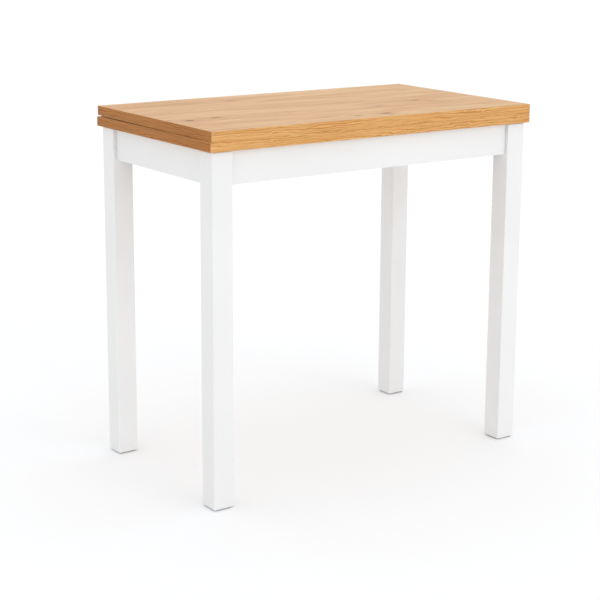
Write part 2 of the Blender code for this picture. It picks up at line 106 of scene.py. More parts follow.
def make_world():
    world = bpy.data.worlds.new("studio")
    world.use_nodes = True
    background = world.node_tree.nodes["Background"]
    background.inputs["Color"].default_value = (*WORLD_TONE, 1)
    background.inputs["Strength"].default_value = WORLD_STRENGTH
    bpy.context.scene.world = world


def make_sun():
    """One very wide, soft light from the front, a little to the right."""
    data = bpy.data.lights.new("soft_key", "SUN")
    data.energy = SUN_STRENGTH
    data.angle = SUN_SPREAD
    light = new_object("soft_key", data)
    light.rotation_euler = Vector(SUN_FROM).to_track_quat("Z", "Y").to_euler()


def make_floor():
    mesh = bmesh.new()
    bmesh.ops.create_grid(mesh, x_segments=1, y_segments=1, size=FLOOR_HALF)
    data = bpy.data.meshes.new("floor")
    mesh.to_mesh(data)
    mesh.free()
    floor = new_object("floor", data)
    material = bpy.data.materials.new("floor")
    material.use_nodes = True
    shader = material.node_tree.nodes["Principled BSDF"]
    shader.inputs["Base Color"].default_value = (*FLOOR_TONE, 1)
    shader.inputs["Roughness"].default_value = FLOOR_ROUGHNESS
    shader.inputs["Specular IOR Level"].default_value = FLOOR_SPECULAR
    data.materials.append(material)


# ---- material helpers ----------------------------------------------------------------------
NOISE_SPAN = (0.3, 0.7)  # most of a noise's values lie in it
CLOUD_SPAN = (0.35, 0.65)  # as above, for a softer change of colour
# the edge mask below lays on both wear and painted highlights
WEAR_AND_HIGHLIGHT_AGREEMENT = (0.995, 0.90)  # of the rounded and flat normals: off an edge, on an edge
WEAR_AND_HIGHLIGHT_BREAKS = (0.25, 0.6)  # of the noise that breaks up the wear and the painted highlights
WEAR_AND_HIGHLIGHT_SCALE = 90
WEAR_AND_HIGHLIGHT_SAMPLES = 4


class Graph:
    """A small helper that adds nodes to one material and joins them."""

    def __init__(self, name):
        self.material = bpy.data.materials.new(name)
        self.material.use_nodes = True
        self.tree = self.material.node_tree
        self.shader = self.tree.nodes["Principled BSDF"]
        coordinates = self.tree.nodes.new("ShaderNodeTexCoord")
        self.place = coordinates.outputs["Object"]
        self.normal = coordinates.outputs["Normal"]

    def link(self, source, target):
        """Feeds a socket from another socket, or sets it to a constant."""
        if hasattr(source, "links"):
            self.tree.links.new(source, target)
        else:
            target.default_value = source

    def scaled(self, scale):
        """The object's own coordinates, in metres, times scale: one number, or one per axis."""
        node = self.tree.nodes.new("ShaderNodeMapping")
        node.inputs["Scale"].default_value = scale if isinstance(scale, tuple) else (scale,) * 3
        self.link(self.place, node.inputs["Vector"])
        return node.outputs["Vector"]

    def noise(self, vector, detail=4.0, roughness=0.5, distortion=0.0):
        node = self.tree.nodes.new("ShaderNodeTexNoise")
        node.inputs["Scale"].default_value = 1.0
        node.inputs["Detail"].default_value = detail
        node.inputs["Roughness"].default_value = roughness
        node.inputs["Distortion"].default_value = distortion
        self.link(vector, node.inputs["Vector"])
        return node.outputs["Fac"]

    def math(self, operation, *values):
        node = self.tree.nodes.new("ShaderNodeMath")
        node.operation = operation
        for value, socket in zip(values, node.inputs):
            self.link(value, socket)
        return node.outputs["Value"]

    def vector_math(self, operation, first, second):
        node = self.tree.nodes.new("ShaderNodeVectorMath")
        node.operation = operation
        self.link(first, node.inputs[0])
        self.link(second, node.inputs[1])
        return node.outputs["Value" if operation in ("LENGTH", "DOT_PRODUCT") else "Vector"]

    def remap(self, value, low, high, to_low=0.0, to_high=1.0, smooth=False):
        node = self.tree.nodes.new("ShaderNodeMapRange")
        if smooth:
            node.interpolation_type = "SMOOTHSTEP"
        node.inputs["From Min"].default_value = low
        node.inputs["From Max"].default_value = high
        node.inputs["To Min"].default_value = to_low
        node.inputs["To Max"].default_value = to_high
        self.link(value, node.inputs["Value"])
        return node.outputs["Result"]

    def split(self, vector):
        node = self.tree.nodes.new("ShaderNodeSeparateXYZ")
        self.link(vector, node.inputs["Vector"])
        return node.outputs

    def join(self, x, y, z):
        node = self.tree.nodes.new("ShaderNodeCombineXYZ")
        for socket, value in zip(node.inputs, (x, y, z)):
            self.link(value, socket)
        return node.outputs["Vector"]

    def ramp(self, value, *stops):
        """stops are (position, (r, g, b)) pairs, in linear colour."""
        node = self.tree.nodes.new("ShaderNodeValToRGB")
        elements = node.color_ramp.elements
        while len(elements) < len(stops):
            elements.new(0.5)
        for element, (position, tone) in zip(elements, stops):
            element.position = position
            element.color = (*tone, 1)
        self.link(value, node.inputs["Fac"])
        return node.outputs["Color"]

    def clouded(self, cloud, dark, light):
        return self.ramp(cloud, (CLOUD_SPAN[0], dark), (CLOUD_SPAN[1], light))

    def mix(self, share, first, second, blend="MIX"):
        """Two colours, each a socket or a tuple; share is how much of the second."""
        node = self.tree.nodes.new("ShaderNodeMix")
        node.data_type = "RGBA"
        node.blend_type = blend
        self.link(share, node.inputs["Factor"])
        for socket, value in ((node.inputs[6], first), (node.inputs[7], second)):
            self.link((*value, 1) if isinstance(value, tuple) else value, socket)
        return node.outputs[2]

    def wear_and_highlight(self, radius, most):
        """A mask of the object's own edges, broken up by noise: most on an edge, 0 off it. It lays
        on wear and painted highlights.
        """
        rounded = self.tree.nodes.new("ShaderNodeBevel")
        rounded.samples = WEAR_AND_HIGHLIGHT_SAMPLES
        rounded.inputs["Radius"].default_value = radius
        flat = self.tree.nodes.new("ShaderNodeNewGeometry").outputs["Normal"]
        agreement = self.vector_math("DOT_PRODUCT", rounded.outputs["Normal"], flat)
        uneven = self.noise(self.scaled(WEAR_AND_HIGHLIGHT_SCALE), detail=3.0)
        on_edge = self.remap(agreement, *WEAR_AND_HIGHLIGHT_AGREEMENT)
        broken = self.math("MULTIPLY", on_edge, self.remap(uneven, *WEAR_AND_HIGHLIGHT_BREAKS))
        return self.remap(broken, 0.0, 1.0, 0.0, most)

    def bump(self, height, distance):
        node = self.tree.nodes.new("ShaderNodeBump")
        node.inputs["Strength"].default_value = 1.0
        node.inputs["Distance"].default_value = distance
        self.link(height, node.inputs["Height"])
        self.link(node.outputs["Normal"], self.shader.inputs["Normal"])

    def finish(self, colour, roughness, metallic=0.0, specular=0.5):
        self.link(colour, self.shader.inputs["Base Color"])
        self.link(roughness, self.shader.inputs["Roughness"])
        self.shader.inputs["Metallic"].default_value = metallic
        self.shader.inputs["Specular IOR Level"].default_value = specular
        return self.material


# ---- oak-look faces ------------------------------------------------------------------------
# Colours are linear. A layer of grain is a noise stretched along the board: along and across are
# its scales, and layer moves it away from the other layers.
FACE_DARK = (0.585, 0.330, 0.158)
FACE_WARM = (0.672, 0.392, 0.200)
FACE_MIDDLE = (0.715, 0.455, 0.240)
FACE_LIGHT = (0.765, 0.516, 0.292)
FACE_TONES = ((0.38, FACE_DARK), (0.47, FACE_WARM), (0.53, FACE_MIDDLE), (0.62, FACE_LIGHT))
FACE_LINE = (0.48, 0.265, 0.120)
FACE_PORE = (0.36, 0.190, 0.085)
FACE_HALO = (0.46, 0.235, 0.115)
FACE_KNOT = (0.185, 0.105, 0.070)

FACE_BANDS = {"along": 2.2, "across": 26.0, "detail": 3.0, "distortion": 0.8}
FACE_STREAKS = {
    "along": 8.0, "across": 115.0, "detail": 4.0, "roughness": 0.62, "distortion": 0.6,
    "layer": 11.0,
}
FACE_FIBRES = {"along": 22.0, "across": 800.0, "detail": 3.0, "roughness": 0.6, "layer": 23.0}
FACE_PORES = {"along": 60.0, "across": 1500.0, "detail": 1.0, "layer": 37.0}
FACE_THROUGH = 40.0  # the grain's scale through the board
FACE_SEED_THROUGH = 1.7

BAND_SHARE = 0.42
STREAK_SHARE = 0.58
LINE_SPAN = (0.52, 0.72)  # of the fibres' noise
LINE_SHARE = 0.38
PORE_SPAN = (0.64, 0.74)
PORE_SHARE = 0.42
HALO_SHARE = 0.45
LINE_DEPTH = -0.5
PORE_DEPTH = -0.8
FACE_RELIEF = 0.00008
FACE_ROUGHNESS = (0.48, 0.60)
FACE_SPECULAR = 0.22

# in knot radii from its middle: where the effect starts, and where it is full
KNOT_BEND = (4.0, 0.4)
KNOT_CORE = (1.15, 0.35)
KNOT_HALO = (3.2, 0.8)
KNOT_PULL = 0.55  # how far the grain is drawn towards the knot

# x, y, half length, half width, darkness
UPPER_KNOTS = (
    (-0.354, -0.073, 0.012, 0.0080, 0.90),
    (-0.288, -0.062, 0.015, 0.0060, 0.75),
    (-0.318, -0.045, 0.010, 0.0045, 0.35),
    (-0.385, -0.050, 0.009, 0.0050, 0.30),
    (0.101, -0.084, 0.016, 0.0050, 0.55),
    (0.043, -0.183, 0.016, 0.0070, 0.90),
    (0.040, -0.204, 0.010, 0.0040, 0.50),
    (-0.027, -0.182, 0.014, 0.0055, 0.55),
    (0.230, -0.045, 0.014, 0.0065, 0.60),
    (0.254, -0.070, 0.012, 0.0050, 0.45),
    (0.364, -0.070, 0.016, 0.0040, 0.35),
    (0.327, 0.119, 0.018, 0.0070, 0.35),
    (-0.120, 0.150, 0.014, 0.0070, 0.45),
)
LOWER_KNOTS = (
    (-0.240, 0.090, 0.012, 0.0060, 0.60),
    (0.150, 0.120, 0.011, 0.0050, 0.50),
    (0.310, -0.090, 0.013, 0.0060, 0.65),
    (-0.060, -0.130, 0.010, 0.0045, 0.45),
)


def oak_face(name, seed, knots):
    """Oak-look laminate with its grain along X, bent round the knots."""
    g = Graph(name)
    x, y, z = g.split(g.place)
    darkness = 0.0
    halo = 0.0
    sample_y = y
    for knot_x, knot_y, length, width, depth in knots:
        from_knot = g.vector_math("SUBTRACT", g.place, (knot_x, knot_y, 0))
        flat = g.vector_math("MULTIPLY", from_knot, (1 / length, 1 / width, 0))
        away = g.vector_math("LENGTH", flat, (0, 0, 0))
        near = g.remap(away, *KNOT_BEND, smooth=True)
        pull = g.math("MULTIPLY", g.math("SUBTRACT", knot_y, y), KNOT_PULL)
        sample_y = g.math("ADD", sample_y, g.math("MULTIPLY", near, pull))
        core = g.remap(away, *KNOT_CORE, 0.0, depth, smooth=True)
        darkness = g.math("MAXIMUM", darkness, core)
        halo = g.math("MAXIMUM", halo, g.remap(away, *KNOT_HALO, 0.0, depth, smooth=True))

    def grain(along, across, detail, roughness=0.5, distortion=0.0, layer=0.0):
        parts = (
            g.math("MULTIPLY_ADD", x, along, seed + layer),
            g.math("MULTIPLY", sample_y, across),
            g.math("MULTIPLY_ADD", z, FACE_THROUGH, seed * FACE_SEED_THROUGH),
        )
        return g.noise(g.join(*parts), detail, roughness, distortion)

    bands = grain(**FACE_BANDS)
    streaks = grain(**FACE_STREAKS)
    fibres = grain(**FACE_FIBRES)
    pores = grain(**FACE_PORES)
    tone = g.math("MULTIPLY_ADD", bands, BAND_SHARE, g.math("MULTIPLY", streaks, STREAK_SHARE))
    colour = g.ramp(tone, *FACE_TONES)
    lines = g.remap(fibres, *LINE_SPAN)
    colour = g.mix(g.math("MULTIPLY", lines, LINE_SHARE), colour, FACE_LINE)
    dashes = g.remap(pores, *PORE_SPAN)
    colour = g.mix(g.math("MULTIPLY", dashes, PORE_SHARE), colour, FACE_PORE)
    colour = g.mix(g.math("MULTIPLY", halo, HALO_SHARE), colour, FACE_HALO)
    colour = g.mix(darkness, colour, FACE_KNOT)
    height = g.math("MULTIPLY_ADD", lines, LINE_DEPTH, g.math("MULTIPLY", dashes, PORE_DEPTH))
    g.bump(height, FACE_RELIEF)
    roughness = g.remap(streaks, *NOISE_SPAN, *FACE_ROUGHNESS)
    return g.finish(colour, roughness, specular=FACE_SPECULAR)


# ---- oak-look edging -----------------------------------------------------------------------
EDGE_DARK = (0.46, 0.190, 0.048)
EDGE_MIDDLE = (0.66, 0.336, 0.104)
EDGE_LIGHT = (0.755, 0.434, 0.165)
EDGE_TONES = ((0.36, EDGE_MIDDLE), (0.62, EDGE_LIGHT))
EDGE_LINE = (0.40, 0.155, 0.035)
EDGE_WEAR_AND_HIGHLIGHT = (0.80, 0.50, 0.22)
# painted shade multiplied into the edging's colour: none on the long sides, darker on the end faces
LONG_PAINTED_SHADE = (1.0, 1.0, 1.0)
END_PAINTED_SHADE = (0.60, 0.45, 0.28)
END_FACING = 0.7  # a face whose normal has more than this along X is on an end

EDGE_SWELL = {"along": 9.0, "across": 55.0, "detail": 2.0}
EDGE_RIPPLE = {"along": 70.0, "across": 120.0, "detail": 2.0, "layer": 9.0}
EDGE_BANDS = {"along": 4.0, "across": 300.0, "detail": 3.0, "roughness": 0.6, "layer": 17.0}
EDGE_FIBRES = {"along": 40.0, "across": 1100.0, "detail": 2.0, "layer": 31.0}
EDGE_PATCHES = {"along": 8.0, "across": 70.0, "detail": 2.0, "layer": 43.0}
EDGE_SEED_THROUGH = 2.3

RING_PITCH = 0.0048  # of the wavy lines
SWELL_HEIGHT = 0.016
RIPPLE_HEIGHT = 0.0050
RING_SHARPNESS = 2.2
PATCH_SPAN = (0.30, 0.62)
PATCH_STRENGTH = (0.35, 1.0)
EDGE_LINE_SPAN = (0.52, 0.70)
EDGE_LINE_SHARE = 0.45
EDGE_RELIEF = 0.0001
EDGE_ROUGHNESS = (0.46, 0.58)
EDGE_SPECULAR = 0.2


def oak_edging(name, seed):
    """Edging with wavy grain lines along each edge, and painted shade that makes the ends darker
    than the long sides.
    """
    g = Graph(name)
    x, y, z = g.split(g.place)
    facing_x = g.math("ABSOLUTE", g.split(g.normal)["X"])
    on_end = g.math("GREATER_THAN", facing_x, END_FACING)
    lengthwise = g.math("MULTIPLY_ADD", on_end, g.math("SUBTRACT", y, x), x)

    def grain(along, across, detail, roughness=0.5, layer=0.0, height=z):
        parts = (
            g.math("MULTIPLY_ADD", lengthwise, along, seed + layer),
            g.math("MULTIPLY", height, across),
            seed * EDGE_SEED_THROUGH,
        )
        return g.noise(g.join(*parts), detail, roughness)

    swell = grain(**EDGE_SWELL)
    ripple = grain(**EDGE_RIPPLE)
    waved = g.math("MULTIPLY_ADD", g.math("SUBTRACT", swell, 0.5), SWELL_HEIGHT, z)
    waved = g.math("MULTIPLY_ADD", g.math("SUBTRACT", ripple, 0.5), RIPPLE_HEIGHT, waved)
    turns = g.math("MULTIPLY_ADD", waved, math.tau / RING_PITCH, seed)
    rings = g.math("MULTIPLY_ADD", g.math("SINE", turns), 0.5, 0.5)
    bands = grain(**EDGE_BANDS, height=waved)
    fibres = grain(**EDGE_FIBRES, height=waved)
    patches = grain(**EDGE_PATCHES)
    colour = g.ramp(bands, *EDGE_TONES)
    strength = g.remap(patches, *PATCH_SPAN, *PATCH_STRENGTH)
    dark_rings = g.math("MULTIPLY", g.math("POWER", rings, RING_SHARPNESS), strength)
    colour = g.mix(dark_rings, colour, EDGE_DARK)
    lines = g.remap(fibres, *EDGE_LINE_SPAN)
    colour = g.mix(g.math("MULTIPLY", lines, EDGE_LINE_SHARE), colour, EDGE_LINE)
    # painted shade: the end faces are darkened
    shade = g.mix(on_end, LONG_PAINTED_SHADE, END_PAINTED_SHADE)
    colour = g.mix(1.0, colour, shade, "MULTIPLY")
    # lighter edges: wear and painted highlight
    colour = g.mix(g.wear_and_highlight(0.0008, 0.35), colour, EDGE_WEAR_AND_HIGHLIGHT)
    g.bump(g.math("MULTIPLY", lines, -1.0), EDGE_RELIEF)
    roughness = g.remap(bands, *NOISE_SPAN, *EDGE_ROUGHNESS)
    return g.finish(colour, roughness, specular=EDGE_SPECULAR)


# ---- unfinished pine -----------------------------------------------------------------------
PINE_TONES = ((0.40, (0.60, 0.36, 0.15)), (0.52, (0.74, 0.53, 0.30)), (0.62, (0.80, 0.62, 0.39)))
PINE_LINE = (0.55, 0.34, 0.15)
PINE_WEAR_AND_HIGHLIGHT = (0.84, 0.70, 0.50)
PINE_RINGS = {"across": 70.0, "along": 2.5, "detail": 2.0, "layer": 0.0}
PINE_FIBRES = {"across": 700.0, "along": 20.0, "detail": 3.0, "layer": 9.0}
PINE_DISTORTION = 0.6
PINE_LINE_SPAN = (0.5, 0.7)
PINE_LINE_SHARE = 0.25
PINE_RELIEF = 0.0002
PINE_ROUGHNESS = (0.62, 0.78)
PINE_SPECULAR = 0.25


def raw_pine(name, along_x):
    """Planed pine with its grain along X or along Y."""
    g = Graph(name)
    x, y, z = g.split(g.place)
    if along_x:
        x, y = y, x

    def grain(across, along, detail, layer):
        parts = (
            g.math("MULTIPLY_ADD", x, across, layer),
            g.math("MULTIPLY", y, along),
            g.math("MULTIPLY", z, across),
        )
        return g.noise(g.join(*parts), detail, distortion=PINE_DISTORTION)

    rings = grain(**PINE_RINGS)
    fibres = grain(**PINE_FIBRES)
    colour = g.ramp(rings, *PINE_TONES)
    lines = g.remap(fibres, *PINE_LINE_SPAN)
    colour = g.mix(g.math("MULTIPLY", lines, PINE_LINE_SHARE), colour, PINE_LINE)
    # lighter edges: wear and painted highlight
    colour = g.mix(g.wear_and_highlight(0.0012, 0.6), colour, PINE_WEAR_AND_HIGHLIGHT)
    g.bump(g.math("MULTIPLY", lines, -1.0), PINE_RELIEF)
    roughness = g.remap(fibres, *NOISE_SPAN, *PINE_ROUGHNESS)
    return g.finish(colour, roughness, specular=PINE_SPECULAR)


# ---- lacquer, metals, plastics and felt ----------------------------------------------------
LACQUER_DARK = (0.772, 0.771, 0.768)
LACQUER_LIGHT = (0.797, 0.796, 0.793)
# painted highlight along the lacquer's edges
LACQUER_PAINTED_HIGHLIGHT = (0.90, 0.90, 0.90)
LACQUER_CLOUD = 5
LACQUER_PEEL = 380
LACQUER_FIBRE = (250, 250, 12)
PEEL_SHARE = 0.6
FIBRE_SHARE = 0.4
LACQUER_RELIEF = 0.00005
LACQUER_ROUGHNESS = (0.34, 0.44)
LACQUER_SPECULAR = 0.45

METAL_SPOTS = 900
METAL_CLOUD = 60
METAL_RELIEF = 0.00003
METAL_WEAR_AND_HIGHLIGHT = 1.25  # times its light colour
GRAINY_WEAR_AND_HIGHLIGHT = 1.15
GRAINY_CLOUD = 9  # times as coarse as its grain

# name, dark, light, roughness
ZINC = ("zinc_plate_bright", (0.50, 0.52, 0.55), (0.66, 0.67, 0.69), (0.26, 0.42))
NICKEL = ("nickel_plate_satin", (0.54, 0.51, 0.45), (0.70, 0.67, 0.60), (0.22, 0.36))
# name, dark, light, roughness, scale of the grain, its relief, specular
NYLON = ("nylon_natural", (0.76, 0.75, 0.70), (0.86, 0.85, 0.81), (0.35, 0.45), 250, 4e-5, 0.4)
FELT = ("felt_pressed", (0.55, 0.54, 0.51), (0.74, 0.73, 0.70), (0.9, 1.0), 900, 3e-4, 0.1)
RUBBER = ("rubber_black", (0.03, 0.03, 0.03), (0.06, 0.06, 0.06), (0.6, 0.8), 400, 5e-5, 0.4)
FOOT = ("foot_plastic_grey", (0.22, 0.22, 0.22), (0.30, 0.30, 0.30), (0.5, 0.65), 500, 5e-5, 0.4)


def white_lacquer():
    """Sprayed satin lacquer: faint orange peel over faint wood fibre, a little thin at places, with
    painted highlights along its edges.
    """
    g = Graph("white_lacquer_satin")
    cloud = g.noise(g.scaled(LACQUER_CLOUD), detail=2.0)
    peel = g.noise(g.scaled(LACQUER_PEEL), detail=2.0)
    fibre = g.noise(g.scaled(LACQUER_FIBRE), detail=3.0)
    colour = g.clouded(cloud, LACQUER_DARK, LACQUER_LIGHT)
    # painted highlight: the lacquer is made lighter on its edges
    colour = g.mix(g.wear_and_highlight(0.0018, 0.8), colour, LACQUER_PAINTED_HIGHLIGHT)
    height = g.math("MULTIPLY_ADD", peel, PEEL_SHARE, g.math("MULTIPLY", fibre, FIBRE_SHARE))
    g.bump(height, LACQUER_RELIEF)
    roughness = g.remap(cloud, *NOISE_SPAN, *LACQUER_ROUGHNESS)
    return g.finish(colour, roughness, specular=LACQUER_SPECULAR)


def metal(name, dark, light, rough):
    g = Graph(name)
    spots = g.noise(g.scaled(METAL_SPOTS), detail=3.0)
    cloud = g.noise(g.scaled(METAL_CLOUD))
    colour = g.clouded(cloud, dark, light)
    # brighter edges: wear and painted highlight
    colour = g.mix(g.wear_and_highlight(0.0005, 0.7), colour, tuple(METAL_WEAR_AND_HIGHLIGHT * part for part in light))
    g.bump(spots, METAL_RELIEF)
    return g.finish(colour, g.remap(cloud, *NOISE_SPAN, *rough), metallic=1.0)


def grainy(name, dark, light, rough, scale, relief, specular):
    """Felt, rubber and plastics: an uneven colour over a grainy surface."""
    g = Graph(name)
    spots = g.noise(g.scaled(scale))
    cloud = g.noise(g.scaled(scale / GRAINY_CLOUD), detail=2.0)
    colour = g.clouded(cloud, dark, light)
    # lighter edges: wear and painted highlight
    colour = g.mix(g.wear_and_highlight(0.0006, 0.6), colour, tuple(GRAINY_WEAR_AND_HIGHLIGHT * part for part in light))
    g.bump(spots, relief)
    return g.finish(colour, g.remap(spots, *NOISE_SPAN, *rough), specular=specular)


def make_materials():
    return {
        "oak_face_upper": oak_face("oak_face_upper", 1.0, UPPER_KNOTS),
        "oak_face_lower": oak_face("oak_face_lower", 5.0, LOWER_KNOTS),
        "oak_edging_upper": oak_edging("oak_edging_upper", 2.0),
        "oak_edging_lower": oak_edging("oak_edging_lower", 8.0),
        "white_lacquer": white_lacquer(),
        "raw_pine": raw_pine("raw_pine_bar", along_x=False),
        "raw_pine_cleat": raw_pine("raw_pine_cleat", along_x=True),
        "zinc_plate": metal(*ZINC),
        "nickel_hinge": metal(*NICKEL),
        "nylon": grainy(*NYLON),
        "felt": grainy(*FELT),
        "rubber": grainy(*RUBBER),
        "foot_plastic": grainy(*FOOT),
    }


# ---- the CAD nodes' surfaces ---------------------------------------------------------------
SHARP_ANGLE = math.radians(35)


def slot_of(node):
    for part in frame["record"]["subparts"]:
        if part["node"] == node:
            return part["material_slot"]
    raise KeyError(node)


def smooth(mesh):
    """Shades a mesh smooth between its sharp edges."""
    mesh.shade_smooth()
    mesh.set_sharp_from_angle(angle=SHARP_ANGLE)


def dress_nodes():
    """Gives each CAD node its material and its shading."""
    for name, obj in NODES.items():
        key = slot_of(name)
        if key in ("oak_face", "oak_edging"):
            key = f"{key}_{name.split('_')[0]}"
        if name.startswith("crossbar_cleat"):
            key = "raw_pine_cleat"
        obj.data.materials.clear()
        obj.data.materials.append(MATERIALS[key])
        smooth(obj.data)
        weighted = obj.modifiers.new("weighted_normals", "WEIGHTED_NORMAL")
        weighted.keep_sharp = True


# ---- meshes of the fixings -----------------------------------------------------------------
HEAD_RINGS = 5
HEAD_SIDES = 24
RECESS_WIDTH = 0.22  # of the head's radius
RECESS_SPAN = 1.15

THREAD_SIDES = 20
THREAD_STEPS = 8  # to a turn
THREAD_STEEPNESS = 2.5  # the higher it is, the narrower the ridge

NUT_SIDES = 48
NUT_CHAMFER = 0.09  # the height of its chamfer, over its flats
NUT_FACE = 0.47  # the radius of its face, over its flats
NUT_COLLAR = 0.44  # the radius of a lock nut's collar, over its flats
NUT_STEPS = 4
NUT_LEAD_IN = 0.0005
NUT_SECTOR = math.radians(60)
NUT_HALF_SECTOR = math.radians(30)
NUT_CHAMFER_SLOPE = math.radians(30)

CORNER_STEPS = 6


def cross_recess_head(radius, height, recess):
    """A domed screw head with a cross recess. It points along +Z and its underside is at z = 0."""
    mesh = bmesh.new()
    previous = []
    for ring in range(HEAD_RINGS):
        rise = ring / HEAD_RINGS * math.pi / 2
        outline = round_ring(HEAD_SIDES, height * math.sin(rise), radius * math.cos(rise))
        row = [mesh.verts.new(point) for point in outline]
        if previous:
            for side in range(HEAD_SIDES):
                after = (side + 1) % HEAD_SIDES
                mesh.faces.new((previous[side], previous[after], row[after], row[side]))
        else:
            mesh.faces.new(reversed(row))
        previous = row
    mesh.faces.new(previous)
    data = bpy.data.meshes.new("screw_head")
    mesh.to_mesh(data)
    mesh.free()

    cutter_mesh = bmesh.new()
    long, wide, deep = radius * RECESS_SPAN, radius * RECESS_WIDTH, recess * 2
    for size in ((long, wide, deep), (wide, long, deep)):
        made = bmesh.ops.create_cube(cutter_mesh, size=1.0)
        bmesh.ops.scale(cutter_mesh, vec=size, verts=made["verts"])
        bmesh.ops.translate(cutter_mesh, vec=(0, 0, height), verts=made["verts"])
    cutter_data = bpy.data.meshes.new("cross")
    cutter_mesh.to_mesh(cutter_data)
    cutter_mesh.free()

    head = new_object("screw_head", data)
    cutter = new_object("cross", cutter_data)
    cut = head.modifiers.new("recess", "BOOLEAN")
    cut.object = cutter
    cut.use_self = True
    bpy.context.view_layer.update()
    evaluated = head.evaluated_get(bpy.context.evaluated_depsgraph_get())
    finished = bpy.data.meshes.new_from_object(evaluated)
    smooth(finished)
    for obj in (head, cutter):
        bpy.data.objects.remove(obj)
    finished.materials.append(MATERIALS["zinc_plate"])
    return finished


def ring_points(sides, z, radius_at):
    """Points round the Z axis at z, radius_at(angle) away from it."""
    angles = (math.tau * side / sides for side in range(sides))
    return [(radius_at(a) * math.cos(a), radius_at(a) * math.sin(a), z) for a in angles]


def round_ring(sides, z, radius):
    return ring_points(sides, z, lambda angle: radius)


def skin_rows(name, rows, closed=False):
    """A mesh skinned over rings of points; it is capped, or joined end to end if closed."""
    mesh = bmesh.new()
    rings = [[mesh.verts.new(point) for point in row] for row in rows]
    pairs = list(zip(rings, rings[1:]))
    if closed:
        pairs.append((rings[-1], rings[0]))
    for lower, upper in pairs:
        for side in range(len(lower)):
            after = (side + 1) % len(lower)
            mesh.faces.new((lower[side], lower[after], upper[after], upper[side]))
    if not closed:
        mesh.faces.new(reversed(rings[0]))
        mesh.faces.new(rings[-1])
    bmesh.ops.recalc_face_normals(mesh, faces=mesh.faces)
    data = bpy.data.meshes.new(name)
    mesh.to_mesh(data)
    mesh.free()
    return data


def thread(name, crest, root, pitch, length, bore=None):
    """A screw thread from z = 0 up, its last turn tapered; a sleeve if it has a bore."""
    rows = []
    count = math.ceil(THREAD_STEPS * length / pitch)
    for row in range(count + 1):
        z = length * row / count
        taper = min(1.0, (length - z) / pitch)

        def radius_at(angle, z=z, taper=taper):
            phase = (z / pitch + angle / math.tau) % 1.0
            ridge = min(1.0, THREAD_STEEPNESS * abs(2 * phase - 1))
            return root + (crest - root) * (1 - ridge) * taper

        rows.append(ring_points(THREAD_SIDES, z, radius_at))
    if bore:
        rows.append(round_ring(THREAD_SIDES, length, bore))
        rows.append(round_ring(THREAD_SIDES, 0.0, bore))
    return skin_rows(name, rows, closed=bool(bore))


def hex_nut(name, flats, thickness, bore, collar=0.0):
    """A chamfered hexagon nut from z = 0 up; a lock nut has a round collar on top."""
    hexagon = thickness - collar
    heights = [NUT_CHAMFER * flats * step / NUT_STEPS for step in range(NUT_STEPS + 1)]

    def hexagon_ring(z, height):
        """The hexagon's outline at z, which is height in from its nearer face."""
        limit = NUT_FACE * flats + height / math.tan(NUT_CHAMFER_SLOPE)

        def radius_at(angle):
            from_flat = (angle + NUT_HALF_SECTOR) % NUT_SECTOR - NUT_HALF_SECTOR
            return min(limit, flats / 2 / math.cos(from_flat))

        return ring_points(NUT_SIDES, z, radius_at)

    rows = [hexagon_ring(height, height) for height in heights]
    rows += [hexagon_ring(hexagon - height, height) for height in reversed(heights)]
    rings = []
    if collar:
        outer = NUT_COLLAR * flats
        rings += [
            (hexagon, outer),
            (thickness - collar / 4, outer),
            (thickness, outer - collar / 4),
        ]
    rings += [
        (thickness, bore + NUT_LEAD_IN),
        (thickness - NUT_LEAD_IN, bore),
        (NUT_LEAD_IN, bore),
        (0.0, bore + NUT_LEAD_IN),
    ]
    rows += [round_ring(NUT_SIDES, z, radius) for z, radius in rings]
    return skin_rows(name, rows, closed=True)


def rounded_square(half, radius, z):
    """Points round a square with rounded corners, starting beside the +X axis."""
    points = []
    reach = (half - radius) * math.sqrt(2)
    for corner in range(4):
        middle = math.radians(45 + 90 * corner)
        centre_x, centre_y = reach * math.cos(middle), reach * math.sin(middle)
        for step in range(CORNER_STEPS + 1):
            angle = middle + math.radians(90) * (step / CORNER_STEPS - 0.5)
            x = centre_x + radius * math.cos(angle)
            y = centre_y + radius * math.sin(angle)
            points.append((x, y, z))
    return points


# ---- screws --------------------------------------------------------------------------------
WOOD_SCREW = (0.0039, 0.0019, 0.0012)  # a head's radius, height and depth of recess
HINGE_SCREW = (0.0027, 0.0008, 0.0006)
WING_FACE = 0.0023  # a corner bracket's wing, from the apron's inner face
WING_MIDDLE = 0.068  # along the apron from the frame's inner corner
BRACKET_SCREW_RISE = 0.011
CLEAT_SCREW_SPACING = 0.026
PLATE_FACE = 0.0027  # from a hinge pin's axis to its plate's face
PLATE_SCREW_ACROSS = 0.0105
PLATE_SCREW_INWARD = (0.004, 0.0155)  # from the hinge pin's axis

# radians that each screw's cross is turned from the last one's
BRACKET_SCREW_TURN = 0.7
CLEAT_SCREW_TURN = 1.1
LOWER_HINGE_SCREW_TURN = 0.9
UPPER_HINGE_SCREW_TURN = 0.5
BUFFER_SCREW_TURN = 0.4

DOWN = (0, 0, -1)
CORNERS = [
    (x_name, x_sign, y_name, y_sign)
    for x_name, x_sign in (("left", -1), ("right", 1))
    for y_name, y_sign in (("front", -1), ("rear", 1))
]


def stand(name, mesh, place, axis, turn=0.0):
    """An object whose mesh stands along +Z, turned about that and then to axis."""
    obj = new_object(name, mesh)
    facing = Vector(axis).to_track_quat("Z", "Y").to_matrix().to_4x4()
    obj.matrix_world = Matrix.Translation(place) @ facing @ Matrix.Rotation(turn, 4, "Z")
    return obj


def under(low, high):
    """The middle of a box's underside."""
    return Vector(((low.x + high.x) / 2, (low.y + high.y) / 2, low.z))


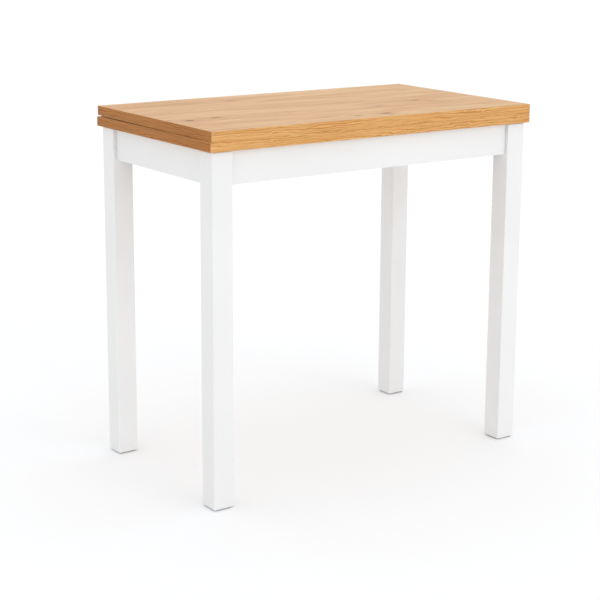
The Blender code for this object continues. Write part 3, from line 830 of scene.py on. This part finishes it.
def add_screw(name, mesh, place, axis, body, turn):
    """One screw head on a surface, pointing along axis, turned about it."""
    screw = stand(name, mesh, place, axis, turn)
    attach(screw, body)


def add_bracket_screws(mesh):
    """Two screws in each wing of each corner bracket, into the aprons."""
    count = 0
    for x_name, x_sign, y_name, y_sign in CORNERS:
        bracket_low, bracket_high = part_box(f"corner_bracket_{y_name}_{x_name}")
        middle_z = (bracket_low.z + bracket_high.z) / 2
        apron_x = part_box(f"apron_{x_name}")[0 if x_sign > 0 else 1].x
        apron_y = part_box(f"apron_{y_name}")[0 if y_sign > 0 else 1].y
        for rise in (-BRACKET_SCREW_RISE, BRACKET_SCREW_RISE):
            z = middle_z + rise
            along_y = (apron_x - x_sign * WING_FACE, apron_y - y_sign * WING_MIDDLE, z)
            along_x = (apron_x - x_sign * WING_MIDDLE, apron_y - y_sign * WING_FACE, z)
            for place, axis in ((along_y, (-x_sign, 0, 0)), (along_x, (0, -y_sign, 0))):
                count += 1
                turn = BRACKET_SCREW_TURN * count
                add_screw(f"bracket_screw_{count}", mesh, place, axis, "base", turn)


def add_cleat_screws(mesh):
    count = 0
    for name in ("front", "rear"):
        middle = under(*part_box(f"crossbar_cleat_{name}"))
        for offset in (-CLEAT_SCREW_SPACING, CLEAT_SCREW_SPACING):
            count += 1
            place = middle + Vector((offset, 0, 0))
            add_screw(f"cleat_screw_{count}", mesh, place, DOWN, "base", CLEAT_SCREW_TURN * count)


def hinge_pins():
    """The two hinge axes, and the upper leaf's lean when folded."""
    joints = {joint["name"]: joint for joint in frame["record"]["behaviour"]["joints"]}
    lower = Vector(joints["link_fold"]["pos_m"])
    upper = Vector(joints["leaf_fold"]["pos_m"])
    lean = math.radians(joints["leaf_fold"]["range_deg"][1] - 90)
    return lower, upper, lean


def add_hinge_screws(mesh):
    """Four screws in each hinge plate, into the two leaves' inner faces."""
    lower, upper, lean = hinge_pins()
    leaning = Matrix.Rotation(lean, 4, "X")
    to_face = Vector((0, 0, PLATE_FACE))
    for hinge in ("left", "centre", "right"):
        low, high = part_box(f"hinge_plate_lower_{hinge}")
        middle_x = (low.x + high.x) / 2
        number = 0
        for across in (-PLATE_SCREW_ACROSS, PLATE_SCREW_ACROSS):
            for inward in PLATE_SCREW_INWARD:
                number += 1
                offset = Vector((middle_x + across, -inward, 0))
                place = lower + offset + to_face
                name = f"hinge_screw_lower_{hinge}_{number}"
                turn = LOWER_HINGE_SCREW_TURN * number
                add_screw(name, mesh, place, (0, 0, 1), "lower_leaf", turn)
                place = upper + leaning @ (offset - to_face)
                name = f"hinge_screw_upper_{hinge}_{number}"
                turn = UPPER_HINGE_SCREW_TURN * number
                add_screw(name, mesh, place, leaning @ Vector(DOWN), "upper_leaf", turn)


def add_buffer_screw(mesh):
    place = under(*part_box("stop_buffer"))
    add_screw("buffer_screw", mesh, place, DOWN, "lower_leaf", BUFFER_SCREW_TURN)


# ---- bolts, nuts and glides ----------------------------------------------------------------
PITCH = 0.00125  # of the bolts' and the stud's threads
BOLT_ROOT = 0.84  # of the crest's radius
BOLT_NUT = (0.013, 0.0065)  # across flats, thickness
BOLT_NUT_PLAY = 0.0001
STUD_RADIUS = 0.006
STUD_BORE = 0.00615
STUD_CREST = STUD_RADIUS + 0.00035
STUD_ROOT = STUD_RADIUS + 0.00008
LOCK_NUT_FLATS = 0.019
LOCK_NUT_COLLAR = 0.0025
INSERT_INNER = STUD_RADIUS + 0.0004
INSERT_OUTER = STUD_RADIUS + 0.0020
INSERT_HEIGHT = 0.0007
INSERT_ARRIS = 0.0003
INSERT_SIDES = 32
# radius and height of each ring round the nylon insert
INSERT_PROFILE = (
    (INSERT_OUTER, 0.0),
    (INSERT_OUTER, INSERT_HEIGHT - INSERT_ARRIS),
    (INSERT_OUTER - INSERT_ARRIS, INSERT_HEIGHT),
    (INSERT_INNER + INSERT_ARRIS, INSERT_HEIGHT),
    (INSERT_INNER, INSERT_ARRIS),
    (INSERT_INNER, 0.0),
)

GLIDE_CORNER = 0.003
GLIDE_RIM = ((0.0, 1.0), (0.0, 0.4), (0.0006, 0.1), (0.0012, 0.0))  # inset, share of the height
GLIDE_HOLE = ((0.0050, 0.0), (0.0045, 0.35), (0.0015, 0.45))  # radius, share of the height


def add_piece(name, mesh, place, axis, body, slot, replaced=None):
    """A piece whose mesh stands along +Z, turned to axis; it may stand for a CAD node."""
    smooth(mesh)
    mesh.materials.append(MATERIALS[slot])
    piece = stand(name, mesh, place, axis)
    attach(piece, body)
    if replaced:
        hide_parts(replaced)


def add_bolts():
    """Threaded hanger bolts and chamfered nuts, where the plain CAD ones are."""
    diagonal = math.sqrt(0.5)
    for x_name, x_sign, y_name, y_sign in CORNERS:
        corner = f"{y_name}_{x_name}"
        axis = Vector((-x_sign, -y_sign, 0)) * diagonal
        low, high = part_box(f"hanger_bolt_{corner}")
        radius = (high.z - low.z) / 2
        length = (high.x - low.x) / diagonal - 2 * radius
        start = (low + high) / 2 - axis * length / 2
        rod = thread("bolt", radius, radius * BOLT_ROOT, PITCH, length)
        name = f"hanger_bolt_threaded_{corner}"
        add_piece(name, rod, start, axis, "base", "zinc_plate", f"hanger_bolt_{corner}")
        low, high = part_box(f"bolt_nut_{corner}")
        start = (low + high) / 2 - axis * BOLT_NUT[1] / 2
        nut = hex_nut("nut", *BOLT_NUT, radius + BOLT_NUT_PLAY)
        name = f"bolt_nut_chamfered_{corner}"
        add_piece(name, nut, start, axis, "base", "zinc_plate", f"bolt_nut_{corner}")


def add_pivot_details():
    """The pivot's lock nut with its nylon ring, and the thread on the end of its stud."""
    low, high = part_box("lock_nut")
    bottom = under(low, high)
    top = Vector((bottom.x, bottom.y, high.z))
    thickness = high.z - low.z
    nut = hex_nut("nut", LOCK_NUT_FLATS, thickness, STUD_BORE, collar=LOCK_NUT_COLLAR)
    add_piece("lock_nut_chamfered", nut, top, DOWN, "lower_leaf", "zinc_plate", "lock_nut")
    stud_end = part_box("pivot_flange")[0].z
    sleeve = thread("thread", STUD_CREST, STUD_ROOT, PITCH, low.z - stud_end, STUD_RADIUS)
    add_piece("stud_thread", sleeve, bottom, DOWN, "lower_leaf", "zinc_plate")
    rows = [round_ring(INSERT_SIDES, z, radius) for radius, z in INSERT_PROFILE]
    ring = skin_rows("ring", rows, closed=True)
    add_piece("lock_nut_insert", ring, bottom, DOWN, "lower_leaf", "nylon")


def add_foot_glides():
    """Moulded glides with rounded corners, a stepped rim and a nail hole underneath."""
    for corner in ("front_left", "front_right", "rear_left", "rear_right"):
        low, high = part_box(f"foot_glide_{corner}")
        half = (high.x - low.x) / 2
        height = high.z - low.z
        rows = []
        for inset, share in GLIDE_RIM:
            rows.append(rounded_square(half - inset, GLIDE_CORNER, share * height))
        for radius, share in GLIDE_HOLE:
            rows.append(round_ring(len(rows[0]), share * height, radius))
        mesh = skin_rows("glide", rows)
        place = under(low, high)
        name = f"foot_glide_moulded_{corner}"
        add_piece(name, mesh, place, (0, 0, 1), "base", "foot_plastic", f"foot_glide_{corner}")


def add_fixings():
    add_bolts()
    add_pivot_details()
    add_foot_glides()
    wood_screw = cross_recess_head(*WOOD_SCREW)
    hinge_screw = cross_recess_head(*HINGE_SCREW)
    add_bracket_screws(wood_screw)
    add_cleat_screws(wood_screw)
    add_hinge_screws(hinge_screw)
    add_buffer_screw(wood_screw)


# ---- run -----------------------------------------------------------------------------------
set_colour_management()
make_camera()
make_world()
make_sun()
make_floor()
MATERIALS = make_materials()
dress_nodes()
add_fixings()
